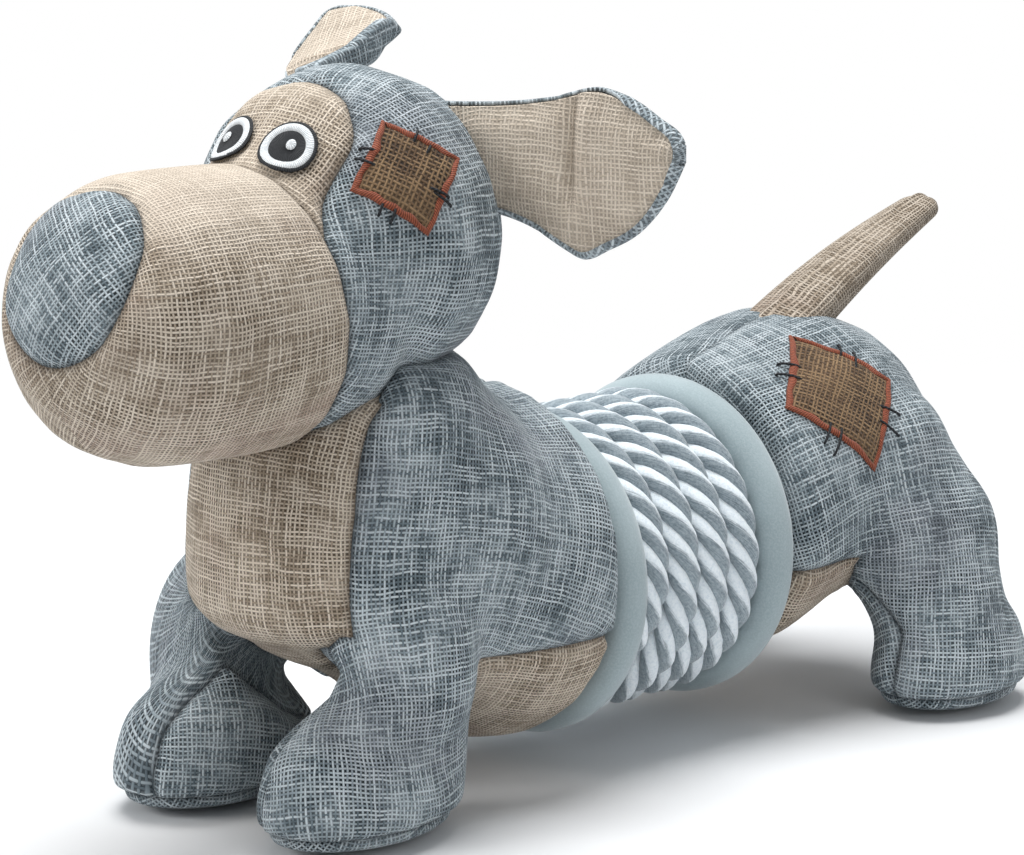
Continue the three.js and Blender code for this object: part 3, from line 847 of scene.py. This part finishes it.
for end, skin, place_of, trim, trim_grain in (
    ("front", front_skin, front_place, "chest_panel", (0, 0, 1)),
    ("rear", rear_skin, rear_place, "rear_belly_panel", (0, 1, 0)),
):
    cloths = {"trim": (trim, "beige_cloth", trim_grain, trim)}
    for hand in ("left", "right"):
        leg, sole = f"{hand}_{end}_leg", f"{hand}_{end}_sole"
        cloths[f"{hand}_side"] = (f"{hand}_{end}_side", "blue_cloth", (0, 0.15, 1), f"{end}_cover", leg)
        cloths[f"{hand}_inner_leg"] = (f"{hand}_{end}_inner_leg", "blue_cloth", (0, 0.3, 1), leg)
        cloths[f"{hand}_sole"] = (f"{sole}_cloth", "blue_cloth", (0.3, 1, 0), sole)
    for place_name, (name, slot, grain, *nodes) in cloths.items():
        piece = panel(skin, lambda p: place_of(p) == place_name, name, slot, grain, *nodes)

# Fillings

wadding_voxel, wadding_sunk, core_sunk = 0.004, 0.003, 0.0006
for name in ("head_filling", "muzzle_filling", "front_filling", "rear_filling", "waist_core"):
    sunk = core_sunk if name == "waist_core" else wadding_sunk
    mesh = fused(name, {}, wadding_voxel, 2, begun=drawn_up(grown(name, -sunk)))
    finished(f"{name}_wadding", mesh, "wadding", name)

# Waist

collar_inner, collar_outer, collar_round = 0.0279, 0.0402, 0.0045


def collar(name, front_y, back_y):
    """A plush ring: a rounded square turned round the waist."""
    bm = bmesh.new()
    corners = (
        (collar_inner, front_y), (collar_outer, front_y), (collar_outer, back_y), (collar_inner, back_y),
    )
    verts = [bm.verts.new((middle_x + radius, y, waist.z)) for radius, y in corners]
    bm.faces.new(verts)
    bmesh.ops.bevel(
        bm, geom=verts[1:3], offset=collar_round, offset_type="OFFSET", affect="VERTICES",
        segments=8, profile=0.5, material=-1,
    )
    bmesh.ops.delete(bm, geom=list(bm.faces), context="FACES_ONLY")
    ring = bm.verts[:] + bm.edges[:]
    bmesh.ops.spin(bm, geom=ring, cent=waist, axis=(0, 1, 0), angle=2 * pi, steps=120, use_merge=True)
    bmesh.ops.remove_doubles(bm, verts=bm.verts, dist=touching)
    bmesh.ops.recalc_face_normals(bm, faces=bm.faces)
    finished(name, mesh_of(bm, name), "short_plush", name)


collar("front_collar", -0.01113, -0.00113)
collar("rear_collar", 0.04207, 0.05207)

# Rope: four strands laid together, wound four turns and tucked in at both ends
turns, turn_pitch = 4, 0.0108
winding_radius, tuck_depth, first_along = 0.033, 0.015, -0.0162
jog = radians(150)
lead = jog / 6
dive = jog - lead
rope_start = lead - dive
rope_end = 2 * pi * turns - jog - rope_start
strands, strand_radius, strand_reach, lay_length = 4, 0.00235, 0.00290, 0.031
lump_depth, lumps_a_metre = 0.00018, 420


def rope_place(turned):
    """The rope's middle, by how far it has turned round the waist."""
    along = first_along
    for turn in range(1, turns):
        along += turn_pitch * eased((turned - 2 * pi * turn + jog) / jog)
    sunk = eased((lead - turned) / dive) + eased((turned - rope_end + dive) / dive)
    radius = winding_radius - tuck_depth * sunk
    angle = turned + (jog - pi) / 2
    return waist + Vector((radius * cos(angle), along, radius * sin(angle)))


def strand_radius_at(place, reach):
    """A strand is a little lumpy."""
    return strand_radius + lump_depth * noise.noise(place * lumps_a_metre + reach * 0.6)


def rope():
    """Its strands, each turning round the rope's middle as it goes along."""
    steps = 760
    turned = rope_end - rope_start
    route = [rope_place(rope_start + turned * step / steps) for step in range(steps + 1)]
    strand_routes = [[] for _ in range(strands)]
    outwards = [[] for _ in range(strands)]
    covered = 0.0
    for index, place in enumerate(route):
        before, after = route[max(index - 1, 0)], route[min(index + 1, steps)]
        direction = (after - before).normalized()
        covered += (place - before).length
        outward = place - Vector((waist.x, place.y, waist.z))
        outward = (outward - direction * outward.dot(direction)).normalized()
        sideways = outward.cross(direction)
        for number in range(strands):
            turn = 2 * pi * (covered / lay_length + number / strands)
            reach = outward * cos(turn) + sideways * sin(turn)
            strand_routes[number].append(place + reach * strand_reach)
            outwards[number].append(reach)
    bm = bmesh.new()
    for strand_route, faced in zip(strand_routes, outwards):
        bm.from_mesh(tube_along("strand", strand_route, 14, strand_radius_at, faced))
    bmesh.ops.recalc_face_normals(bm, faces=bm.faces)
    finished("rope_winding_strands", mesh_of(bm, "rope"), "cotton_rope", "rope_winding")


rope()

# Ears

# The flap's outline and folds in millimetres, from its root along it and across it
upper_edge = [
    (9, 10.4), (14.9, 11.7), (22.9, 14.6), (28.6, 15.8), (33.3, 14.8), (39, 12.2), (43.7, 9.3),
    (48.2, 6.9), (50.2, 4.6),
]
lower_edge = [
    (9, -14.2), (12.3, -15.8), (17, -18.6), (22.5, -21.4), (26.4, -22.7), (31, -20.6), (38.5, -16.4),
    (45.6, -8.8), (50.2, -0.6),
]
root_share, folded_width_share = 0.2, 0.82
crease_x, crease_depth, crease_width, welt_width, welt_share = 24, 3.0, 2.0, 4.5, 0.35
bend_x, bend, bend_over = 22, radians(7), 8
bow_height, bow_length = 1.6, 44
fold_hinge, fold_lean = Vector((26, -9.7)), radians(-32)
fold_radius, fold_turn = 3.4, radians(93)
lining_rise, lining_swell, lining_spread = 0.5, 0.9, -1.3
hem_share, hem_rise, hem_spread, rim_from, rim_over = 0.10, 1.1, -1.1, 0.42, 0.10
ear_thickness = 0.0008


def smooth_between(points, share):
    """A place on the smooth line through evenly counted points."""
    position = min(max(share, 0.0), 1.0) * (len(points) - 1)
    here = min(int(position), len(points) - 2)
    part = position - here
    known = [Vector(points[min(max(here + step, 0), len(points) - 1)]) for step in (-1, 0, 1, 2)]
    curve = known[1] * 2 + (known[2] - known[0]) * part
    curve += (known[0] * 2 - known[1] * 5 + known[2] * 4 - known[3]) * part ** 2
    curve += (known[1] * 3 - known[0] - known[2] * 3 + known[3]) * part ** 3
    return curve / 2


def across_flap(share, height):
    """A place on the flat flap, by its share of the way to the tip and of the way up."""
    return smooth_between(lower_edge, share).lerp(smooth_between(upper_edge, share), height)


def relief(flat, middle_y):
    """How far a place on the flap stands out, by its crease, its bow across and its bent tip."""
    off_crease = flat.x - crease_x
    crease = exp(-(off_crease / crease_width) ** 2) - welt_share * exp(-(off_crease / welt_width) ** 2)
    fade = eased((flat.y + 16) / 12) * (1 - 0.4 * eased((flat.y - 9) / 6))
    bow = bow_height * (cos(pi * (flat.y - middle_y) / bow_length) - 1)
    bent = max(flat.x - bend_x, 0) * tan(bend) * eased((flat.x - bend_x) / bend_over)
    return bow - crease_depth * crease * fade - bent


def folded_over(flat, rise):
    """Where a place goes as the lower edge turns over on to the lining, and how far it rises."""
    slant = Vector((cos(fold_lean), sin(fold_lean)))
    square = Vector((-slant.y, slant.x))
    run, above = (flat - fold_hinge).dot(slant), (flat - fold_hinge).dot(square)
    over = max(-above, 0)
    turn = min(over / fold_radius, fold_turn)
    past = over - turn * fold_radius
    reach = fold_radius - rise
    above = max(above, 0) - reach * sin(turn) - past * cos(turn)
    return fold_hinge + slant * run + square * above, reach * (1 - cos(turn)) + past * sin(turn)


def ear(side, root, along, upright, folded=False):
    """A flap of two cloths: the lining in front and the back's edge rolled round it."""
    across = (upright - along * upright.dot(along)).normalized()
    front = along.cross(across)

    def place(share, height, rise, spread):
        """The same place in the scene, raised from the flap and spread outwards by millimetres."""
        flat = across_flap(share, height)
        out_x = spread * eased((share - 0.75) / 0.25)
        out_y = spread * (2 * height - 1)
        flat = Vector((flat.x + out_x, (flat.y + out_y) * (folded_width_share if folded else 1)))
        if share < root_share:
            base, end = begin(height), across_flap(root_share, height).x
            flat = Vector((base + (end - base) * share / root_share, flat.y))
        depth = rise + relief(flat, across_flap(share, 0.5).y)
        if folded:
            flat, lift = folded_over(flat, rise)
            depth += lift
        return root + (along * flat.x + across * flat.y + front * depth) * millimetre

    def begin(height):
        """Where the flap begins: just under the head's skin."""
        outside, sunk = 30, 0.8
        start = root + (along * outside + across * across_flap(0.0, height).y) * millimetre
        hit, _, _, distance = head_tree.ray_cast(start, -along)
        return outside - distance / millimetre - sunk if hit else -2.0

    def lining(height, share):
        edge = min(height, 1 - height, 1.4 * (1 - share)) * 2
        return place(share, height, lining_rise + lining_swell * eased(edge * 2.2), lining_spread)

    def back(height, share):
        flat_share = 1 - 2 * hem_share
        on_flat = min(max((height - hem_share) / flat_share, 0), 1)
        past = max(hem_share - height, height - 1 + hem_share, share - 1 + hem_share, 0) / hem_share
        outer = eased((share - rim_from) / rim_over) if height > 0.5 else 1
        turn = pi * past * (0.55 + 0.45 * outer)
        spread = outer * (0.8 * sin(turn) - 0.6 * past) + hem_spread
        return place(min(share / (1 - hem_share), 1), on_flat, -hem_rise * cos(turn), spread)

    # painted shade along the flap's crease
    def crease_shade(point):
        flat = (point - root) / millimetre
        away = (flat.dot(along) - crease_x - 0.2) / 0.65
        return 0.9 * exp(-away * away) * eased((flat.dot(across) + 17) / 8)

    # each cloth's painted light, paler all over: most on the lining, which faces the lamps
    for part, sheet, slot, worn, offset in (
        ("lining", lining, "beige_cloth", 0.42, -1.0), ("back", back, "blue_cloth", 0.1, 1.0),
    ):
        name = f"{side}_ear_{part}"
        mesh = sheet_of(name, 80, 110, sheet)
        marked(mesh, "hem", crease_shade)
        marked(mesh, "rubbed", lambda point: worn)
        piece = finished(f"{name}_cloth", mesh, slot, name, body=f"{side}_ear")
        lay_flat(piece, along)
        thicken(piece, ear_thickness, offset)


def direction(turn, lift):
    """Which way a flap hangs: turned from the left side towards the back, and lifted, in degrees."""
    turn, lift = radians(turn), radians(lift)
    return Vector((cos(lift) * cos(turn), cos(lift) * sin(turn), sin(lift)))


far_along = direction(132, 32)
far_upright = Matrix.Rotation(radians(-22), 3, far_along) @ Vector((0, 0, 1)).cross(far_along)
ear("left", Vector((0.02313, -0.04553, 0.153)), direction(10, 0), Vector((0, 0, 1)))
ear("right", Vector((-0.0295, -0.0451, 0.1538)), far_along, far_upright, folded=True)

# Tail

tail_root, tail_tip = Vector((middle_x, 0.0832, 0.0882)), Vector((middle_x, 0.15147, 0.120))
root_width, tip_width, root_depth, tip_depth = 0.0108, 0.0056, 0.0068, 0.0028
tail_round, tail_bow, ridge_height, tail_girth = 2.6, 0.002, 0.0011, 0.038
root_closing, tip_closing, ridge_share = 0.06, 0.07, 0.025


def tail():
    """A flattened, tapering tube with closed ends and its seam as a ridge on top."""
    length = (tail_tip - tail_root).length
    way = (tail_tip - tail_root).normalized()
    wide = Vector((1, 0, 0))
    upward = wide.cross(way)

    def place(around, along):
        turn = 2 * pi * around
        closing = sqrt(max(1 - max(1 - (1 - along) / tip_closing, 0) ** 2, 0))
        closing *= sqrt(max(1 - max(1 - along / root_closing, 0) ** 2, 0))
        half_width = (root_width + (tip_width - root_width) * along ** 1.6) * closing
        half_depth = (root_depth + (tip_depth - root_depth) * along) * closing
        x, y = cos(turn), sin(turn)
        flatten = (abs(x) ** tail_round + abs(y) ** tail_round) ** (-1 / tail_round)
        centre = tail_root.lerp(tail_tip, along) + upward * tail_bow * sin(pi * along)
        ridge = ridge_height * exp(-((around - 0.25) / ridge_share) ** 2) * closing
        return centre + wide * x * flatten * half_width + upward * (y * flatten * half_depth + ridge)

    mesh = sheet_of("tail", 72, 90, place, (tail_girth, length))
    reworked(mesh, lambda bm: bmesh.ops.recalc_face_normals(bm, faces=bm.faces))
    # painted shade: the whole tail darkened, as it lies in shade
    marked(mesh, "hem", lambda point: 0.45)
    piece = finished("tail_cloth", mesh, "beige_cloth", "tail", body="tail")
    thicken(piece, cloth_thickness)


tail()

# Eyes

# Each eye's stitched rounds: finish, CAD node, open share, middle, half sizes, rise and crown
eye_rounds = {
    "outline": ("black_thread", "rim", 0.92, (-0.9, -0.6), (6.75, 6.35), 0.0005, 0.0002),
    "ring": ("white_thread", "white", 0.70, (-0.9, -0.6), (6.4, 6.0), 0.0005, 0.0005),
    "centre": ("black_thread", "pupil", 0.0, (-0.8, -0.6), (4.8, 4.5), 0.0006, 0.0002),
    "glint": ("white_thread", "white", 0.0, (0.2, -0.2), (0.85, 1.05), 0.0011, 0.0003),
}
eye_lift, eye_thickness = 38.4, 0.0006


def eye_round(side, turn, flip, name, slot, node, inner, middle, half_sizes, rise, crown):
    """A ring or disc of stitching laid on the head; its middle and half sizes are in millimetres."""
    spot = facing(head, turn, eye_lift)

    def place(around, along):
        angle = 2 * pi * around
        share = inner + (1 - inner) * along
        x = middle[0] * flip + half_sizes[0] * share * cos(angle)
        y = middle[1] + half_sizes[1] * share * sin(angle)
        edge = min(along, 1 - along) if inner else 1 - along
        return laid(head_tree, spot, x, y, rise + crown * eased(edge * 3))

    half_width = half_sizes[0] * millimetre
    mesh = sheet_of(f"{side}_eye_{name}", 72, 10, place, (2 * pi * half_width, half_width))
    if slot == "black_thread":
        for loop in mesh.uv_layers["cloth"].data:
            loop.uv = (loop.uv.y, loop.uv.x * 2.2)
    piece = finished(f"{side}_eye_{name}", mesh, slot, f"{side}_eye_{node}")
    thicken(piece, eye_thickness)


for side, turn, flip in (("left", 21, 1), ("right", -21, -1)):
    for name, values in eye_rounds.items():
        eye_round(side, turn, flip, name, *values)

# Patches

thread_names = (
    "side_low_second", "side_low_first", "edge_high_first", "edge_high_second",
    "side_high_second", "side_high_first", "edge_low_first", "edge_low_second",
)


def patch(name, tree, spot, band, corners, threads):
    """A burlap square with a stitched band round it and hand stitches from end to end, in millimetres."""
    corner = [Vector(point) for point in corners]
    lowest, puff = 0.0005, 0.0004
    border_lowest, border_crown = 0.0004, 0.0007

    def cloth(share_x, share_y):
        top = corner[0].lerp(corner[1], share_x)
        bottom = corner[3].lerp(corner[2], share_x)
        flat = bottom.lerp(top, share_y)
        edge = min(share_x, 1 - share_x, share_y, 1 - share_y)
        return laid(tree, spot, flat.x, flat.y, lowest + puff * eased(edge * 8))

    piece = finished(f"{name}_patch_cloth", sheet_of(name, 40, 40, cloth), "burlap", f"{name}_patch")
    lay_flat(piece, spot[1])
    thicken(piece, patch_thickness)

    def binding(across, around):
        side = min(int(around * 4), 3)
        share = around * 4 - side
        first, second = corner[side], corner[(side + 1) % 4]
        middle = sum(corner, Vector((0, 0))) / 4
        on_edge = first.lerp(second, share)
        inward = (middle - on_edge).normalized()
        ragged = 0.10 * sin(37 * around) + 0.08 * sin(91 * around + 1)
        flat = on_edge + inward * band * (across * (1 + ragged) - 0.25 + ragged / 2)
        rise = border_lowest + border_crown * sin(pi * across) ** 0.6
        return laid(tree, spot, flat.x, flat.y, rise)

    mesh = sheet_of(name, 8, 200, binding)
    around = sum((corner[i] - corner[i - 1]).length for i in range(4)) * millimetre
    for loop in mesh.uv_layers["cloth"].data:
        loop.uv = (loop.uv.y * around, loop.uv.x * band * millimetre)
    piece = finished(f"{name}_patch_binding", mesh, "rust_thread", f"{name}_patch_border")
    thicken(piece, stitch_thickness)
    for thread, (start, end) in zip(thread_names, threads):
        thread_between(f"{name}_thread_{thread}", tree, spot, start, end, f"{name}_stitch_{thread}")


patch(
    "head", head_tree, facing(head, 69, 26, -32), band=1.9,
    corners=((-8.4, 10.2), (10.2, 10.7), (10.2, -8.8), (-8.9, -7.5)),
    threads=(
        ((-11.2, 1.6), (-7.3, 2.4)), ((-11.2, -0.7), (-6.2, -0.9)),
        ((-0.7, 12.2), (-0.8, 8.0)), ((3.0, 10.1), (2.8, 6.9)),
        ((5.4, 0.2), (11.6, 0.9)), ((6.6, -0.1), (12.9, -0.6)),
        ((-1.9, -7.4), (-1.5, -10.7)), ((0.8, -7.1), (1.5, -11.1)),
    ),
)
patch(
    "rear", rear_tree, facing(rump, 90, 35, -46), band=2.0,
    corners=((-13, 12.6), (11.9, 10.1), (15.9, -15.1), (-11.6, -13.5)),
    threads=(
        ((-15.7, 0.6), (-9.6, 1.4)), ((-15.7, -3.2), (-8.8, -2.9)),
        ((-2.3, 14.9), (-1.5, 9.9)), ((1.4, 14.1), (2.4, 6.6)),
        ((9.7, 0.2), (17, 1)), ((10.8, -3.5), (18.8, -4.2)),
        ((-0.3, -11.4), (0.1, -18.4)), ((2.8, -11), (3.6, -19.9)),
    ),
)

# Squeaker

for name, slot in (("squeaker_bulb", "squeaker_plastic"), ("squeaker_reed", "reed_plastic")):
    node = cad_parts[name]
    node.data.materials.clear()
    node.data.materials.append(finishes[slot])

# Studio


def floor():
    """A pale sheet that fades away from the toy."""
    floor_gap = 0.0002
    bm = bmesh.new()
    bmesh.ops.create_grid(bm, x_segments=1, y_segments=1, size=4.0)
    surface = object_of("floor", mesh_of(bm, "floor"))
    paper = Finish("pale floor", roughness=0.95)
    away = paper.node("ShaderNodeVectorMath", {"operation": "LENGTH"}, {0: paper.object_place()}, 1)
    paper.feed(paper.shader.inputs["Alpha"], 1 - away.ramp(0.2, 0.6))
    surface.data.materials.append(paper.show(paint("e6e7e8")))
    surface.location.z = -floor_gap
    surface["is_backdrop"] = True


def lamp(name, place, size, power):
    data = bpy.data.lights.new(name, "AREA")
    data.shape = "DISK"
    data.size = size
    data.energy = power
    made = object_of(name, data)
    made.location = place
    made.rotation_euler = (Vector((0, 0, 0.08)) - Vector(place)).to_track_quat("-Z", "Y").to_euler()


def surroundings():
    """White behind everything and in reflections, and soft pale light on it."""
    world = bpy.data.worlds.new("studio")
    scene.world = world
    world.use_nodes = True
    sky = Nodes(world.node_tree)
    light = sky.node("ShaderNodeBackground", inputs={"Color": (0.93, 0.96, 1.0, 1.0), "Strength": 0.36})
    white = sky.node("ShaderNodeBackground", inputs={"Color": (1, 1, 1, 1)})
    kinds = ("Is Camera Ray", "Is Glossy Ray", "Is Transmission Ray")
    direct, glossy, clear = (sky.node("ShaderNodeLightPath", output=kind) for kind in kinds)
    seen = direct.maths("MAXIMUM", glossy).maths("MAXIMUM", clear)
    both = sky.node("ShaderNodeMixShader", inputs={0: seen, 1: light, 2: white})
    sky.feed(world.node_tree.nodes["World Output"].inputs["Surface"], both)


floor()
surroundings()
lamp("top", (-0.15, 0.0, 1.35), 1.0, 22)
lamp("key", (-0.6, -1.35, 0.8), 0.7, 10)
lamp("fill", (1.4, -0.3, 0.6), 0.9, 3)

# The photo's viewpoint: 44 degrees round from the front and 11 degrees up
camera_place, camera_round, camera_up = Vector((0.63197, -0.66711, 0.25863)), 44, 11
camera_data = bpy.data.cameras.new("camera")
camera_data.sensor_width = 36
camera_data.lens = 137.109
camera_data.clip_end = 20
camera = object_of("camera", camera_data)
turned = Matrix.Rotation(radians(camera_round), 4, "Z")
tilted = Matrix.Rotation(radians(90 - camera_up), 4, "X")
camera.matrix_world = Matrix.Translation(camera_place) @ turned @ tilted
scene.camera = camera

scene.view_settings.view_transform = "Standard"

boxes = [[list(corner) for corner in box] for box in (cad_box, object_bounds())]
